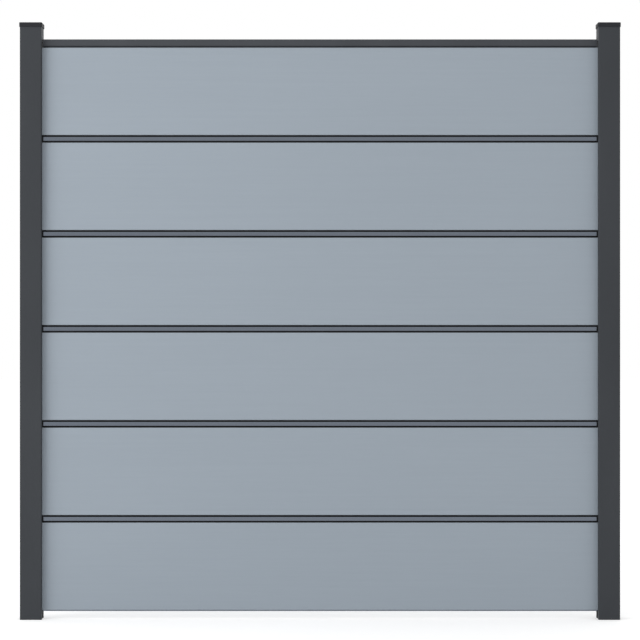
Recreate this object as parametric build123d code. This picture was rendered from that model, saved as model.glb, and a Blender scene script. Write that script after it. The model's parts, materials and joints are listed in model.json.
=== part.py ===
from build123d import *
import os

# Composite fence panel: hollow composite boards stacked between two channelled aluminium posts.
# Millimetres. X runs along the panel, Y from its front to its back, Z up.
# The origin is on the ground, midway between the posts and midway through their depth.

# Bay
clear_width = 1754.0  # between the posts' inner faces
ground_gap = 25.0  # from the ground to the underside of the bottom rail
board_count = 6

# Boards: hollow extrusions with a groove along each long edge
board_height = 276.0
board_thickness = 20.0
board_skin = 4.5  # faces over the chambers
board_rib = 4.5  # between chambers, and behind the grooves
board_edge_radius = 2.0
chamber_count = 8
chamber_bevel = 1.5
expansion_gap = 4.0  # from a board's end to the channel's floor

# Tongues of the metal profiles, and their fit in the boards' grooves
profile_wall = 1.5
tongue_thickness = 8.0
tongue_height = 12.0
tongue_clearance = 0.3  # each side of a tongue
groove_end_gap = 1.0  # beyond a tongue's tip

# Joint profiles between the boards
joint_gap = 24.0  # between one board's face and the next
ledge_thickness = 2.0
ledge_reach = 2.2  # the bearing under a board's edge, beyond the groove
web_thickness = 2.0
arm_thickness = 1.4
arm_lip_thickness = 1.2
arm_lip_height = 0.7

# Inlay strips snapped into the joint profiles
inlay_height = 12.0
inlay_thickness = 1.6
inlay_recess = 1.4  # back from the boards' faces
inlay_overlap = 1.1  # past the outside of the arms
inlay_leg_thickness = 1.2
inlay_end_gap = 3.5  # from a strip's end to the post

# Snap fits of the inlays and the groove covers
snap_clearance = 0.2
hook_width = 1.4

# Top rail
rail_height = 21.0
rail_proud = 2.0  # past the boards' faces
rail_wall = 1.8
rail_gap = 5.0  # shadow gap over the top board
rail_ledge_thickness = 1.5
rail_end_gap = 2.5  # from the rail's end to the post
rail_edge_radius = 1.5

# Bottom rail
flange_thickness = 3.0
flange_inset = 1.0  # back from the boards' faces

# Posts: square tubes with a channel in the inner and in the outer side
post_width = 68.0
post_wall = 2.0
post_corner_radius = 3.0
post_rise = 47.0  # above the top rail
channel_depth = 22.0
snap_rib_width = 1.2
snap_rib_height = 0.8
hook_pocket = 6.8  # from the channel's floor to the snap rib
port_radius = 4.5  # screw ports for a foot plate
port_hole_radius = 2.5
port_setback = 4.0  # from a port's centre to the walls beside it

# Gaskets between the boards and the channels' sides
gasket_thickness = 2.0
gasket_setback = 3.0  # from the post's inner face
gasket_gap = 0.3  # from the gasket to the snap rib
gasket_groove_width = 1.6
gasket_groove_depth = 0.7

# Covers of the posts' channels
cover_thickness = 1.8
cover_leg_thickness = 1.4

# Post caps
cap_plate = 4.0
cap_skirt = 9.5  # down the post's sides
cap_wall = 1.7
cap_clearance = 0.3
cap_edge_bevel = 1.0
cap_tab_width = 30.0
cap_tab_thickness = 1.8
cap_tab_depth = 14.0

# Support blocks under the bottom rail, and their screws
block_setback = 1.0  # back from the post's inner face
block_clearance = 0.3
block_lift = 3.0  # above the ground
block_chamfer = 1.0
screw_radius = 2.0
screw_clearance = 0.3
screw_reach = 5.0  # past the channel's floor
screw_head_radius = 4.0
screw_head_height = 2.6
screw_head_sink = 0.8  # below the block's face
screw_socket_width = 2.5
screw_socket_depth = 1.4

# Sizes and places that follow
groove_width = tongue_thickness + 2 * tongue_clearance
groove_depth = tongue_height + groove_end_gap
ledge_width = groove_width + 2 * ledge_reach
board_length = clear_width + 2 * (channel_depth - expansion_gap)
board_pitch = board_height + joint_gap
first_board_z = ground_gap + flange_thickness
boards_top_z = first_board_z + board_count * board_pitch - joint_gap
post_height = boards_top_z + rail_gap + rail_height + post_rise
post_x = (clear_width + post_width) / 2
channel_width = board_thickness + 2 * gasket_thickness
snap_rib_depth = channel_depth - hook_pocket - snap_rib_width
port_offset = post_width / 2 - post_wall - port_setback
arm_half_height = inlay_height / 2 - inlay_overlap - arm_thickness
arm_reach = board_thickness / 2 - inlay_recess - inlay_thickness
block_depth = channel_depth - block_setback
block_height = ground_gap - block_lift
block_z = block_lift + block_height / 2
screw_head_pocket = screw_head_height + screw_head_sink


def slab(low_x, high_x, low_y, high_y):
    """A rectangle of a section, from its low and high edges each way."""
    middle = Pos((low_x + high_x) / 2, (low_y + high_y) / 2)
    return middle * Rectangle(high_x - low_x, high_y - low_y)


def centred_slab(width, low_y, high_y):
    """A rectangle of a section, centred on the section's upright axis."""
    return slab(-width / 2, width / 2, low_y, high_y)


def run_along(section, length, z):
    """A section drawn across the panel, run along it and centred between the posts."""
    return Pos(-length / 2, 0, z) * extrude(Plane.YZ * section, amount=length)


def across(radius, start_x, length, z):
    """A round bar or hole that runs along the panel from start_x."""
    return Pos(start_x, 0, z) * extrude(Plane.YZ * Circle(radius), amount=length)


def board():
    """A hollow board: rounded edges, a groove in each edge and a row of chambers."""
    half_height = board_height / 2
    section = RectangleRounded(board_thickness, board_height, board_edge_radius)
    section -= centred_slab(groove_width, half_height - groove_depth, half_height)
    section -= centred_slab(groove_width, -half_height, groove_depth - half_height)
    chambers_height = board_height - 2 * (groove_depth + board_rib)
    pitch = (chambers_height + board_rib) / chamber_count
    chamber = Rectangle(board_thickness - 2 * board_skin, pitch - board_rib)
    chamber = chamfer(chamber.vertices(), chamber_bevel)
    for step in range(chamber_count):
        section -= Pos(0, (step - (chamber_count - 1) / 2) * pitch) * chamber
    return run_along(section, board_length, half_height)


def tongue():
    """The section of a hollow tongue that stands on a profile's ledge."""
    hollow_width = tongue_thickness - 2 * profile_wall
    outside = centred_slab(tongue_thickness, 0, tongue_height)
    return outside - centred_slab(hollow_width, 0, tongue_height - profile_wall)


def hanging_tongue():
    """The same tongue, hanging under its ledge."""
    return mirror(tongue(), about=Plane.XZ)


def inlay_arms():
    """The two lipped arms that hold an inlay strip in a joint profile's front."""
    arms = Sketch()
    root = -web_thickness / 2
    for side in (-1, 1):
        outer = side * (arm_half_height + arm_thickness)
        inner = side * arm_half_height
        lip = side * (arm_half_height - arm_lip_height)
        arms += slab(-arm_reach, root, min(inner, outer), max(inner, outer))
        arms += slab(-arm_reach, arm_lip_thickness - arm_reach, min(lip, outer), max(lip, outer))
    return arms


def joint_profile():
    """The profile between two boards: web, bearing ledges, tongues and the inlays' arms."""
    half_gap = joint_gap / 2
    section = centred_slab(web_thickness, -half_gap, half_gap)
    section += centred_slab(ledge_width, half_gap - ledge_thickness, half_gap)
    section += centred_slab(ledge_width, -half_gap, ledge_thickness - half_gap)
    section += Pos(0, half_gap) * tongue()
    section += Pos(0, -half_gap) * hanging_tongue()
    section += inlay_arms()
    section += mirror(inlay_arms(), about=Plane.YZ)
    return run_along(section, board_length, half_gap)


def inlay():
    """A front inlay strip: a flat face with two hooked legs behind the arms' lips."""
    section = slab(-arm_reach - inlay_thickness, -arm_reach, -inlay_height / 2, inlay_height / 2)
    hook_start = arm_lip_thickness + snap_clearance - arm_reach
    hook_end = hook_start + hook_width
    for side in (-1, 1):
        leg_outer = side * (arm_half_height - arm_lip_height - snap_clearance)
        leg_inner = leg_outer - side * inlay_leg_thickness
        hook_tip = side * (arm_half_height - snap_clearance)
        section += slab(-arm_reach, hook_end, min(leg_outer, leg_inner), max(leg_outer, leg_inner))
        section += slab(hook_start, hook_end, min(leg_inner, hook_tip), max(leg_inner, hook_tip))
    return run_along(section, clear_width - 2 * inlay_end_gap, joint_gap / 2)


def top_rail():
    """The capping rail: a rounded box on a hollow neck, whose ledge bears on the top board, and
    a tongue in the board's groove."""
    rail_width = board_thickness + 2 * rail_proud
    box = RectangleRounded(rail_width, rail_height, rail_edge_radius)
    box -= Rectangle(rail_width - 2 * rail_wall, rail_height - 2 * rail_wall)
    section = Pos(0, rail_gap + rail_height / 2) * box
    section += centred_slab(tongue_thickness, rail_ledge_thickness, rail_gap)
    section -= centred_slab(tongue_thickness - 2 * profile_wall, rail_ledge_thickness, rail_gap)
    section += centred_slab(ledge_width, 0, rail_ledge_thickness)
    section += hanging_tongue()
    return run_along(section, clear_width - 2 * rail_end_gap, boards_top_z)


def bottom_rail():
    """The carrying rail: a flange under the lowest board, with a tongue in its groove."""
    section = centred_slab(board_thickness - 2 * flange_inset, -flange_thickness, 0)
    section += tongue()
    return run_along(section, board_length, first_board_z)


def screw_port():
    """A ring in a post's corner that takes a foot plate's screw, tied to both walls."""
    ring = Circle(port_radius)
    return ring + slab(0, port_setback, 0, port_setback)


def post_section():
    """The posts' extrusion: a tube with two channels, their snap ribs and four screw ports."""
    half_width = post_width / 2
    half_channel = channel_width / 2
    inner_width = post_width - 2 * post_wall
    section = RectangleRounded(post_width, post_width, post_corner_radius)
    section -= Rectangle(inner_width, inner_width)
    for quarter in range(4):
        section += Rot(0, 0, 90 * quarter) * (Pos(port_offset, port_offset) * screw_port())
    walls_half = half_channel + post_wall
    walls_start = half_width - channel_depth - post_wall
    walls = slab(walls_start, half_width, -walls_half, walls_half)
    channel = slab(half_width - channel_depth, half_width, -half_channel, half_channel)
    rib_end = half_width - snap_rib_depth
    ribs = slab(rib_end - snap_rib_width, rib_end, -half_channel, snap_rib_height - half_channel)
    ribs += slab(rib_end - snap_rib_width, rib_end, half_channel - snap_rib_height, half_channel)
    for turn in (0, 180):
        section += Rot(0, 0, turn) * walls
        section -= Rot(0, 0, turn) * channel
        section += Rot(0, 0, turn) * ribs
    for quarter in range(4):
        section -= Rot(0, 0, 90 * quarter) * (Pos(port_offset, port_offset) * Circle(port_hole_radius))
    return section


def right_post():
    """The right post, with the hole for its support block's screw in the inner channel's floor."""
    tube = Pos(post_x, 0, 0) * extrude(post_section(), amount=post_height)
    floor_x = clear_width / 2 + channel_depth
    return tube - across(screw_radius + screw_clearance, floor_x, post_wall, block_z)


def cover_section():
    """The section of a strip that closes a post's channel, hooked behind its snap ribs."""
    face_x = post_width / 2
    half_channel = channel_width / 2
    half_face = half_channel - snap_clearance
    section = slab(face_x - cover_thickness, face_x, -half_face, half_face)
    hook_start = face_x - snap_rib_depth - snap_rib_width - snap_clearance
    hook_end = hook_start - hook_width
    for side in (-1, 1):
        leg_outer = side * (half_channel - snap_rib_height - snap_clearance)
        leg_inner = leg_outer - side * cover_leg_thickness
        hook_tip = side * (half_channel - snap_clearance)
        section += slab(hook_end, face_x, min(leg_outer, leg_inner), max(leg_outer, leg_inner))
        section += slab(hook_end, hook_start, min(leg_inner, hook_tip), max(leg_inner, hook_tip))
    return section


def right_groove_cover():
    """The strip that closes the right post's outer channel over its whole height."""
    return Pos(post_x, 0, 0) * extrude(cover_section(), amount=post_height)


def right_inner_cover():
    """The short strip that closes the right post's inner channel above the top board."""
    section = Rot(0, 0, 180) * cover_section()
    return Pos(post_x, 0, boards_top_z) * extrude(section, amount=post_height - boards_top_z)


def right_post_cap():
    """A flat cap: a plate on the post's end, a skirt round the post and two tabs inside it."""
    cap_width = post_width + 2 * (cap_clearance + cap_wall)
    skirt_width = post_width + 2 * cap_clearance
    skirt_radius = post_corner_radius + cap_clearance
    outline = RectangleRounded(cap_width, cap_width, skirt_radius + cap_wall)
    cap = Pos(0, 0, -cap_skirt) * extrude(outline, amount=cap_skirt + cap_plate)
    cap = chamfer(cap.edges().group_by(Axis.Z)[-1], cap_edge_bevel)
    inside = RectangleRounded(skirt_width, skirt_width, skirt_radius)
    cap -= Pos(0, 0, -cap_skirt) * extrude(inside, amount=cap_skirt)
    wall_y = post_width / 2 - post_wall - cap_clearance
    tab = slab(-cap_tab_width / 2, cap_tab_width / 2, wall_y - cap_tab_thickness, wall_y)
    for turn in (0, 180):
        cap += Pos(0, 0, -cap_tab_depth) * extrude(Rot(0, 0, turn) * tab, amount=cap_tab_depth)
    return Pos(post_x, 0, post_height) * cap


def right_back_gasket():
    """A ribbed strip between the boards' backs and the side of the right post's channel."""
    low_x = clear_width / 2 + gasket_setback
    high_x = clear_width / 2 + snap_rib_depth - gasket_gap
    board_y = board_thickness / 2
    section = slab(low_x, high_x, board_y, board_y + gasket_thickness)
    groove = slab(-gasket_groove_width / 2, gasket_groove_width / 2, board_y, board_y + gasket_groove_depth)
    for share in (1 / 3, 2 / 3):
        section -= Pos(low_x + share * (high_x - low_x), 0) * groove
    return Pos(0, 0, ground_gap) * extrude(section, amount=boards_top_z - ground_gap)


def right_support_block():
    """The moulded block in the right post's channel that carries the bottom rail."""
    width = channel_width - 2 * (snap_rib_height + block_clearance)
    floor_x = clear_width / 2 + channel_depth
    face_x = floor_x - block_depth
    block = Pos((face_x + floor_x) / 2, 0, block_z) * Box(block_depth, width, block_height)
    block = chamfer(block.edges().filter_by(Axis.Z), block_chamfer)
    block -= across(screw_radius + screw_clearance, face_x, block_depth, block_z)
    return block - across(screw_head_radius + screw_clearance, face_x, screw_head_pocket, block_z)


def right_block_screw():
    """A socket-head screw through the support block into the channel's floor."""
    face_x = clear_width / 2 + channel_depth - block_depth
    head_x = face_x + screw_head_sink
    seat_x = face_x + screw_head_pocket
    shank_length = block_depth - screw_head_pocket + post_wall + screw_reach
    screw = across(screw_head_radius, head_x, screw_head_height, block_z)
    screw += across(screw_radius, seat_x, shank_length, block_z)
    socket = RegularPolygon(screw_socket_width / 2, 6, major_radius=False)
    return screw - Pos(head_x, 0, block_z) * extrude(Plane.YZ * socket, amount=screw_socket_depth)


def to_left(shape):
    """The left post's copy of a piece at the right post."""
    return mirror(shape, about=Plane.YZ)


def to_front(shape):
    """The front copy of a piece at the panel's back, or the back copy of one at its front."""
    return mirror(shape, about=Plane.XZ)


def panel_nodes():
    """Every piece of the panel by name, boards and joints numbered from the ground up."""
    nodes = {"bottom_rail": bottom_rail(), "top_rail": top_rail()}
    one_board = board()
    for number in range(board_count):
        nodes[f"board_{number + 1}"] = Pos(0, 0, first_board_z + number * board_pitch) * one_board
    one_profile = joint_profile()
    one_inlay = inlay()
    for number in range(board_count - 1):
        joint = Pos(0, 0, first_board_z + number * board_pitch + board_height)
        nodes[f"joint_profile_{number + 1}"] = joint * one_profile
        nodes[f"front_inlay_{number + 1}"] = joint * one_inlay
        nodes[f"back_inlay_{number + 1}"] = joint * to_front(one_inlay)
    right_pieces = {
        "post": right_post(),
        "groove_cover": right_groove_cover(),
        "inner_cover": right_inner_cover(),
        "post_cap": right_post_cap(),
        "support_block": right_support_block(),
        "back_gasket": right_back_gasket(),
        "front_gasket": to_front(right_back_gasket()),
    }
    for name, piece in right_pieces.items():
        nodes[f"right_{name}"] = piece
        nodes[f"left_{name}"] = to_left(piece)
    screw = right_block_screw()
    nodes["block_screws"] = Compound([*to_left(screw).solids(), *screw.solids()])
    return nodes


os.makedirs("parts", exist_ok=True)
for name, piece in panel_nodes().items():
    export_step(piece, f"parts/{name}.step")
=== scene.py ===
import json
import math

import bpy
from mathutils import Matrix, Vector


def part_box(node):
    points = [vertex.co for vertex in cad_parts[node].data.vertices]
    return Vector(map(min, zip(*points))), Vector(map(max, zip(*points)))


# The looks of a composite fence panel: six boards between two capped posts, in metres.

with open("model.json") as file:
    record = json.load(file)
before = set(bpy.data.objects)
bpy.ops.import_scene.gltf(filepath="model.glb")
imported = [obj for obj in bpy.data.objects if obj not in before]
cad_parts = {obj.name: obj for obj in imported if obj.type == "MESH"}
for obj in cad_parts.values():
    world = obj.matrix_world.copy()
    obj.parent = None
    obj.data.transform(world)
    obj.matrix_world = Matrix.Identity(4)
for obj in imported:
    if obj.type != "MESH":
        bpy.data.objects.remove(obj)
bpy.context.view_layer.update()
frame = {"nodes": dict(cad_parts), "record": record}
nodes = frame["nodes"]

MM = 0.001

# The photograph's view: straight at the panel, level, from about 7.4 m
EYE_HEIGHT = 0.944
EYE_DISTANCE = 7.43  # in front of the posts' faces
LENS = 132.8
SENSOR = 36.0

# The white surroundings: strengths, where 1 is white, and the floor's side in metres
WHITE = (1.0, 1.0, 1.0, 1.0)
DOME_LOW = 0.80  # the dome's light from just under the horizon
DOME_HIGH = 0.93  # and from high above
DOME_LOW_RISE = -0.2  # how steeply up each of the two comes from, where 1 is straight up
DOME_HIGH_RISE = 0.8
FLOOR_SIZE = 60.0
FLOOR_GLOW = 0.35  # what the floor lacks to show as white

# The lamps: square soft boxes, in metres and watts
KEY_PLACE = (-4.0, -2.9, 2.8)
KEY_SIZE = 3.4
KEY_POWER = 97.0
BACK_PLACE = (0.6, 3.2, 3.0)
BACK_SIZE = 2.5
BACK_POWER = 22.0

# The values between which a noise pattern mostly lies
NOISE_LOW = 0.3
NOISE_HIGH = 0.7

# The colour inputs and output of a Mix node, which has some for every kind of value
FIRST_COLOUR = 6
SECOND_COLOUR = 7
MIXED_COLOUR = 2


def linear(colour):
    """An sRGB hex colour as linear red, green, blue and alpha."""
    channels = [int(colour[i:i + 2], 16) / 255 for i in (1, 3, 5)]
    bent = [c / 12.92 if c <= 0.04045 else ((c + 0.055) / 1.055) ** 2.4 for c in channels]
    return (*bent, 1.0)


def per_metre(*millimetres):
    """How many times per metre a pattern repeats, from its size each way in millimetres."""
    return tuple(1 / (size * MM) for size in millimetres)


def add(tree, kind, inputs, **settings):
    """Adds a node: its settings, then its inputs, each a value or another node's output."""
    node = tree.nodes.new(kind)
    for name, value in settings.items():
        setattr(node, name, value)
    for name, value in inputs.items():
        if isinstance(value, bpy.types.NodeSocket):
            tree.links.new(value, node.inputs[name])
        else:
            node.inputs[name].default_value = value
    return node


def new_material(name):
    """An empty material, and the piece's own coordinates in metres."""
    material = bpy.data.materials.new(name)
    material.use_nodes = True
    tree = material.node_tree
    tree.nodes.clear()
    place = tree.nodes.new("ShaderNodeTexCoord").outputs["Object"]
    return material, tree, place


def board_composite():
    """Wood-plastic composite with a plain co-extruded skin, brushed along the board: dull and
    even, with hair-fine lines lengthways, fainter bands from the die, and a slow drift in tone."""
    material, tree, place = new_material("board_composite")

    # The brush marks are about 0.4 mm apart; drawn at 1.6 mm so that they show
    brush_place = add(
        tree, "ShaderNodeMapping", {"Vector": place, "Scale": per_metre(90, 1.6, 1.6)}
    )
    brush = add(
        tree,
        "ShaderNodeTexNoise",
        {"Vector": brush_place.outputs["Vector"], "Scale": 1.0, "Detail": 3.0, "Roughness": 0.6},
    ).outputs["Fac"]
    die_place = add(tree, "ShaderNodeMapping", {"Vector": place, "Scale": per_metre(700, 9, 9)})
    die_bands = add(
        tree,
        "ShaderNodeTexNoise",
        {"Vector": die_place.outputs["Vector"], "Scale": 1.0, "Detail": 2.0},
    ).outputs["Fac"]
    drift_place = add(
        tree, "ShaderNodeMapping", {"Vector": place, "Scale": per_metre(800, 200, 200)}
    )
    drift = add(
        tree,
        "ShaderNodeTexNoise",
        {"Vector": drift_place.outputs["Vector"], "Scale": 1.0, "Detail": 1.0},
    ).outputs["Fac"]

    brush_tone = add(
        tree,
        "ShaderNodeMapRange",
        {
            "Value": brush,
            "From Min": NOISE_LOW,
            "From Max": NOISE_HIGH,
            "To Min": 0.0,
            "To Max": 0.5,
        },
    ).outputs["Result"]
    die_tone = add(
        tree,
        "ShaderNodeMapRange",
        {
            "Value": die_bands,
            "From Min": NOISE_LOW,
            "From Max": NOISE_HIGH,
            "To Min": 0.0,
            "To Max": 0.25,
        },
    ).outputs["Result"]
    drift_tone = add(
        tree,
        "ShaderNodeMapRange",
        {
            "Value": drift,
            "From Min": NOISE_LOW,
            "From Max": NOISE_HIGH,
            "To Min": 0.0,
            "To Max": 0.25,
        },
    ).outputs["Result"]
    two_tones = add(tree, "ShaderNodeMath", {0: brush_tone, 1: die_tone}, operation="ADD")
    tone = add(
        tree, "ShaderNodeMath", {0: two_tones.outputs["Value"], 1: drift_tone}, operation="ADD"
    ).outputs["Value"]
    colour = add(
        tree,
        "ShaderNodeMix",
        {0: tone, FIRST_COLOUR: linear("#939DA7"), SECOND_COLOUR: linear("#98A2AC")},
        data_type="RGBA",
    ).outputs[MIXED_COLOUR]
    roughness = add(
        tree,
        "ShaderNodeMapRange",
        {
            "Value": brush,
            "From Min": NOISE_LOW,
            "From Max": NOISE_HIGH,
            "To Min": 0.50,
            "To Max": 0.62,
        },
    ).outputs["Result"]
    relief = add(
        tree, "ShaderNodeBump", {"Height": brush, "Strength": 0.25, "Distance": 0.06 * MM}
    )
    skin = add(
        tree,
        "ShaderNodeBsdfPrincipled",
        {
            "Base Color": colour,
            "Roughness": roughness,
            "IOR": 1.49,
            "Normal": relief.outputs["Normal"],
        },
    )
    add(tree, "ShaderNodeOutputMaterial", {"Surface": skin.outputs["BSDF"]})
    return material


def powder_coat(name, dark, light, roughness):
    """Fine-structure polyester powder coat, baked on extruded aluminium: a matt paint, evenly
    sanded by its own grain, which leaves no clear reflection on it."""
    material, tree, place = new_material(name)

    # The coat's grain is about 0.5 mm; drawn at 1.5 mm so that it shows
    grain_place = add(
        tree, "ShaderNodeMapping", {"Vector": place, "Scale": per_metre(1.5, 1.5, 1.5)}
    )
    grain = add(
        tree,
        "ShaderNodeTexNoise",
        {"Vector": grain_place.outputs["Vector"], "Scale": 1.0, "Detail": 2.0},
    ).outputs["Fac"]
    cloud_place = add(
        tree, "ShaderNodeMapping", {"Vector": place, "Scale": per_metre(150, 150, 400)}
    )
    cloud = add(
        tree,
        "ShaderNodeTexNoise",
        {"Vector": cloud_place.outputs["Vector"], "Scale": 1.0, "Detail": 1.0},
    ).outputs["Fac"]

    both = add(tree, "ShaderNodeMath", {0: grain, 1: cloud}, operation="ADD").outputs["Value"]
    tone = add(
        tree,
        "ShaderNodeMapRange",
        {"Value": both, "From Min": 0.75, "From Max": 1.25, "To Min": 0.0, "To Max": 1.0},
    ).outputs["Result"]
    colour = add(
        tree,
        "ShaderNodeMix",
        {0: tone, FIRST_COLOUR: linear(dark), SECOND_COLOUR: linear(light)},
        data_type="RGBA",
    ).outputs[MIXED_COLOUR]
    gloss = add(
        tree,
        "ShaderNodeMapRange",
        {
            "Value": grain,
            "From Min": NOISE_LOW,
            "From Max": NOISE_HIGH,
            "To Min": roughness - 0.05,
            "To Max": roughness + 0.05,
        },
    ).outputs["Result"]
    relief = add(
        tree, "ShaderNodeBump", {"Height": grain, "Strength": 0.5, "Distance": 0.12 * MM}
    )
    coat = add(
        tree,
        "ShaderNodeBsdfPrincipled",
        {
            "Base Color": colour,
            "Roughness": gloss,
            "IOR": 1.5,
            "Specular IOR Level": 0.3,
            "Normal": relief.outputs["Normal"],
        },
    )
    add(tree, "ShaderNodeOutputMaterial", {"Surface": coat.outputs["BSDF"]})
    return material


def trim_anodised():
    """Extruded aluminium, etched and anodised grey: a soft metal sheen, drawn out into faint lines
    along the strip."""
    material, tree, place = new_material("trim_anodised")

    # The extrusion's draw lines are about 0.3 mm apart; drawn at 1.2 mm so that they show
    line_place = add(
        tree, "ShaderNodeMapping", {"Vector": place, "Scale": per_metre(120, 1.2, 1.2)}
    )
    draw_lines = add(
        tree,
        "ShaderNodeTexNoise",
        {"Vector": line_place.outputs["Vector"], "Scale": 1.0, "Detail": 2.0},
    ).outputs["Fac"]
    tone = add(
        tree,
        "ShaderNodeMapRange",
        {
            "Value": draw_lines,
            "From Min": NOISE_LOW,
            "From Max": NOISE_HIGH,
            "To Min": 0.0,
            "To Max": 1.0,
        },
    ).outputs["Result"]
    colour = add(
        tree,
        "ShaderNodeMix",
        {0: tone, FIRST_COLOUR: linear("#656B75"), SECOND_COLOUR: linear("#6B727C")},
        data_type="RGBA",
    ).outputs[MIXED_COLOUR]
    gloss = add(
        tree,
        "ShaderNodeMapRange",
        {
            "Value": draw_lines,
            "From Min": NOISE_LOW,
            "From Max": NOISE_HIGH,
            "To Min": 0.18,
            "To Max": 0.26,
        },
    ).outputs["Result"]
    metal = add(
        tree,
        "ShaderNodeBsdfPrincipled",
        {"Base Color": colour, "Metallic": 1.0, "Roughness": gloss},
    )
    add(tree, "ShaderNodeOutputMaterial", {"Surface": metal.outputs["BSDF"]})
    return material


def moulded_plastic(name, dark, light, roughness):
    """Injection-moulded nylon: an even dark tone, dulled by the spark-eroded grain of its mould."""
    material, tree, place = new_material(name)

    # The mould's grain is about 0.3 mm; drawn at 2 mm so that it shows
    grain_place = add(tree, "ShaderNodeMapping", {"Vector": place, "Scale": per_metre(2, 2, 2)})
    grain = add(
        tree,
        "ShaderNodeTexNoise",
        {"Vector": grain_place.outputs["Vector"], "Scale": 1.0, "Detail": 3.0},
    ).outputs["Fac"]
    tone = add(
        tree,
        "ShaderNodeMapRange",
        {
            "Value": grain,
            "From Min": NOISE_LOW,
            "From Max": NOISE_HIGH,
            "To Min": 0.0,
            "To Max": 1.0,
        },
    ).outputs["Result"]
    colour = add(
        tree,
        "ShaderNodeMix",
        {0: tone, FIRST_COLOUR: linear(dark), SECOND_COLOUR: linear(light)},
        data_type="RGBA",
    ).outputs[MIXED_COLOUR]
    gloss = add(
        tree,
        "ShaderNodeMapRange",
        {
            "Value": grain,
            "From Min": NOISE_LOW,
            "From Max": NOISE_HIGH,
            "To Min": roughness - 0.06,
            "To Max": roughness + 0.06,
        },
    ).outputs["Result"]
    relief = add(
        tree, "ShaderNodeBump", {"Height": grain, "Strength": 0.4, "Distance": 0.05 * MM}
    )
    shell = add(
        tree,
        "ShaderNodeBsdfPrincipled",
        {
            "Base Color": colour,
            "Roughness": gloss,
            "IOR": 1.53,
            "Specular IOR Level": 0.15,
            "Normal": relief.outputs["Normal"],
        },
    )
    add(tree, "ShaderNodeOutputMaterial", {"Surface": shell.outputs["BSDF"]})
    return material


def gasket_rubber():
    """EPDM rubber, extruded: near black and dull, with fine draw lines up the strip."""
    material, tree, place = new_material("gasket_rubber")
    line_place = add(
        tree, "ShaderNodeMapping", {"Vector": place, "Scale": per_metre(1.2, 1.2, 200)}
    )
    draw_lines = add(
        tree,
        "ShaderNodeTexNoise",
        {"Vector": line_place.outputs["Vector"], "Scale": 1.0, "Detail": 2.0},
    ).outputs["Fac"]
    tone = add(
        tree,
        "ShaderNodeMapRange",
        {
            "Value": draw_lines,
            "From Min": NOISE_LOW,
            "From Max": NOISE_HIGH,
            "To Min": 0.0,
            "To Max": 1.0,
        },
    ).outputs["Result"]
    colour = add(
        tree,
        "ShaderNodeMix",
        {0: tone, FIRST_COLOUR: linear("#161617"), SECOND_COLOUR: linear("#1F1F20")},
        data_type="RGBA",
    ).outputs[MIXED_COLOUR]
    gloss = add(
        tree,
        "ShaderNodeMapRange",
        {
            "Value": draw_lines,
            "From Min": NOISE_LOW,
            "From Max": NOISE_HIGH,
            "To Min": 0.68,
            "To Max": 0.80,
        },
    ).outputs["Result"]
    strip = add(
        tree,
        "ShaderNodeBsdfPrincipled",
        {"Base Color": colour, "Roughness": gloss, "IOR": 1.52},
    )
    add(tree, "ShaderNodeOutputMaterial", {"Surface": strip.outputs["BSDF"]})
    return material


def screw_steel():
    """Stainless steel, cold-headed and tumbled: a soft grey shine, broken up by fine scuffs."""
    material, tree, place = new_material("screw_steel")
    scuff_place = add(
        tree, "ShaderNodeMapping", {"Vector": place, "Scale": per_metre(0.6, 0.6, 2.0)}
    )
    scuffs = add(
        tree,
        "ShaderNodeTexNoise",
        {"Vector": scuff_place.outputs["Vector"], "Scale": 1.0, "Detail": 3.0},
    ).outputs["Fac"]
    tone = add(
        tree,
        "ShaderNodeMapRange",
        {
            "Value": scuffs,
            "From Min": NOISE_LOW,
            "From Max": NOISE_HIGH,
            "To Min": 0.0,
            "To Max": 1.0,
        },
    ).outputs["Result"]
    colour = add(
        tree,
        "ShaderNodeMix",
        {0: tone, FIRST_COLOUR: linear("#A9A9A6"), SECOND_COLOUR: linear("#C4C4C0")},
        data_type="RGBA",
    ).outputs[MIXED_COLOUR]
    gloss = add(
        tree,
        "ShaderNodeMapRange",
        {
            "Value": scuffs,
            "From Min": NOISE_LOW,
            "From Max": NOISE_HIGH,
            "To Min": 0.26,
            "To Max": 0.42,
        },
    ).outputs["Result"]
    metal = add(
        tree,
        "ShaderNodeBsdfPrincipled",
        {"Base Color": colour, "Metallic": 1.0, "Roughness": gloss},
    )
    add(tree, "ShaderNodeOutputMaterial", {"Surface": metal.outputs["BSDF"]})
    return material


def background_rays(tree):
    """One for the rays that show the background: from the eye, in a reflection or through glass."""
    rays = tree.nodes.new("ShaderNodeLightPath").outputs
    two_kinds = add(
        tree,
        "ShaderNodeMath",
        {0: rays["Is Camera Ray"], 1: rays["Is Glossy Ray"]},
        operation="ADD",
    )
    all_kinds = add(
        tree,
        "ShaderNodeMath",
        {0: two_kinds.outputs["Value"], 1: rays["Is Transmission Ray"]},
        operation="ADD",
        use_clamp=True,
    )
    return all_kinds.outputs["Value"]


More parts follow.
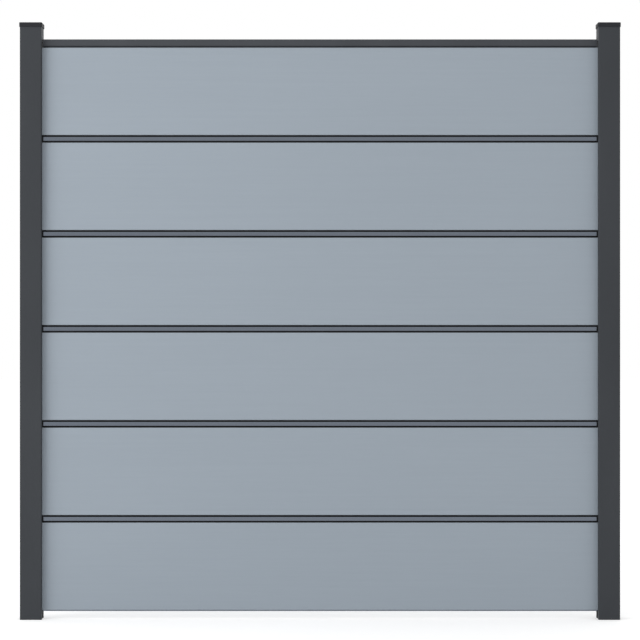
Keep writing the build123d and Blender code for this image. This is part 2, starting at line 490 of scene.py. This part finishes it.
def white_surroundings():
    """A white background, and a soft dome of light that is stronger from above."""
    world = bpy.data.worlds.new("studio")
    bpy.context.scene.world = world
    world.use_nodes = True
    tree = world.node_tree
    tree.nodes.clear()
    direction = tree.nodes.new("ShaderNodeTexCoord").outputs["Generated"]
    rise = add(tree, "ShaderNodeSeparateXYZ", {"Vector": direction}).outputs["Z"]
    strength = add(
        tree,
        "ShaderNodeMapRange",
        {
            "Value": rise,
            "From Min": DOME_LOW_RISE,
            "From Max": DOME_HIGH_RISE,
            "To Min": DOME_LOW,
            "To Max": DOME_HIGH,
        },
    ).outputs["Result"]
    dome = add(tree, "ShaderNodeBackground", {"Color": WHITE, "Strength": strength})
    backdrop = add(tree, "ShaderNodeBackground", {"Color": WHITE, "Strength": 1.0})
    either = add(
        tree,
        "ShaderNodeMixShader",
        {
            0: background_rays(tree),
            1: dome.outputs["Background"],
            2: backdrop.outputs["Background"],
        },
    )
    add(tree, "ShaderNodeOutputWorld", {"Surface": either.outputs["Shader"]})


def pale_floor():
    """A wide pale floor that shows as white, apart from the panel's soft shadow."""
    bpy.ops.mesh.primitive_plane_add(size=FLOOR_SIZE, location=(0, 0, 0))
    floor = bpy.context.object
    floor.name = "floor"
    material, tree, place = new_material("floor_paper")
    fibre_place = add(tree, "ShaderNodeMapping", {"Vector": place, "Scale": per_metre(40, 40, 40)})
    fibre = add(
        tree,
        "ShaderNodeTexNoise",
        {"Vector": fibre_place.outputs["Vector"], "Scale": 1.0, "Detail": 2.0},
    ).outputs["Fac"]
    colour = add(
        tree,
        "ShaderNodeMix",
        {0: fibre, FIRST_COLOUR: linear("#E1E1E1"), SECOND_COLOUR: linear("#E5E5E5")},
        data_type="RGBA",
    ).outputs[MIXED_COLOUR]
    paper = add(tree, "ShaderNodeBsdfDiffuse", {"Color": colour}).outputs["BSDF"]
    glow = add(tree, "ShaderNodeEmission", {"Color": WHITE, "Strength": FLOOR_GLOW})
    lifted = add(tree, "ShaderNodeAddShader", {0: paper, 1: glow.outputs["Emission"]})
    either = add(
        tree,
        "ShaderNodeMixShader",
        {0: background_rays(tree), 1: paper, 2: lifted.outputs["Shader"]},
    )
    add(tree, "ShaderNodeOutputMaterial", {"Surface": either.outputs["Shader"]})
    floor.data.materials.append(material)


def soft_lamp(name, place, size, power, target):
    """A square soft box of the given side, turned towards the target."""
    lamp = bpy.data.lights.new(name, "AREA")
    lamp.size = size
    lamp.energy = power
    holder = bpy.data.objects.new(name, lamp)
    bpy.context.scene.collection.objects.link(holder)
    holder.location = place
    aim = [goal - start for goal, start in zip(target, place)]
    level = math.hypot(aim[0], aim[1])
    holder.rotation_euler = (math.atan2(level, -aim[2]), 0, math.atan2(-aim[0], aim[1]))


def camera():
    """The camera of the photograph, level and square to the panel."""
    posts_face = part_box("left_post")[0].y
    eye = bpy.data.cameras.new("camera")
    eye.lens = LENS
    eye.sensor_width = SENSOR
    holder = bpy.data.objects.new("camera", eye)
    bpy.context.scene.collection.objects.link(holder)
    holder.location = (0, posts_face - EYE_DISTANCE, EYE_HEIGHT)
    holder.rotation_euler = (math.radians(90), 0, 0)
    bpy.context.scene.camera = holder


finishes = {
    "board": board_composite(),
    "post": powder_coat("post_powder_coat", "#34373B", "#3A3D41", 0.72),
    "rail": powder_coat("rail_powder_coat", "#3B3E43", "#414449", 0.62),
    "profile": powder_coat("joint_black_powder_coat", "#0E0E0F", "#141415", 0.62),
    "trim": trim_anodised(),
    "cap": moulded_plastic("cap_nylon", "#26272A", "#2C2D31", 0.7),
    "block": moulded_plastic("block_nylon", "#0F0F10", "#151516", 0.75),
    "gasket": gasket_rubber(),
    "screw": screw_steel(),
}

for subpart in frame["record"]["subparts"]:
    piece = nodes[subpart["node"]]
    piece.data.materials.clear()
    piece.data.materials.append(finishes[subpart["material_slot"]])

bpy.context.scene.view_settings.view_transform = "Standard"
white_surroundings()
pale_floor()
soft_lamp("key_light", KEY_PLACE, KEY_SIZE, KEY_POWER, (0, 0, EYE_HEIGHT))
soft_lamp("back_light", BACK_PLACE, BACK_SIZE, BACK_POWER, (0, 0, EYE_HEIGHT))
camera()
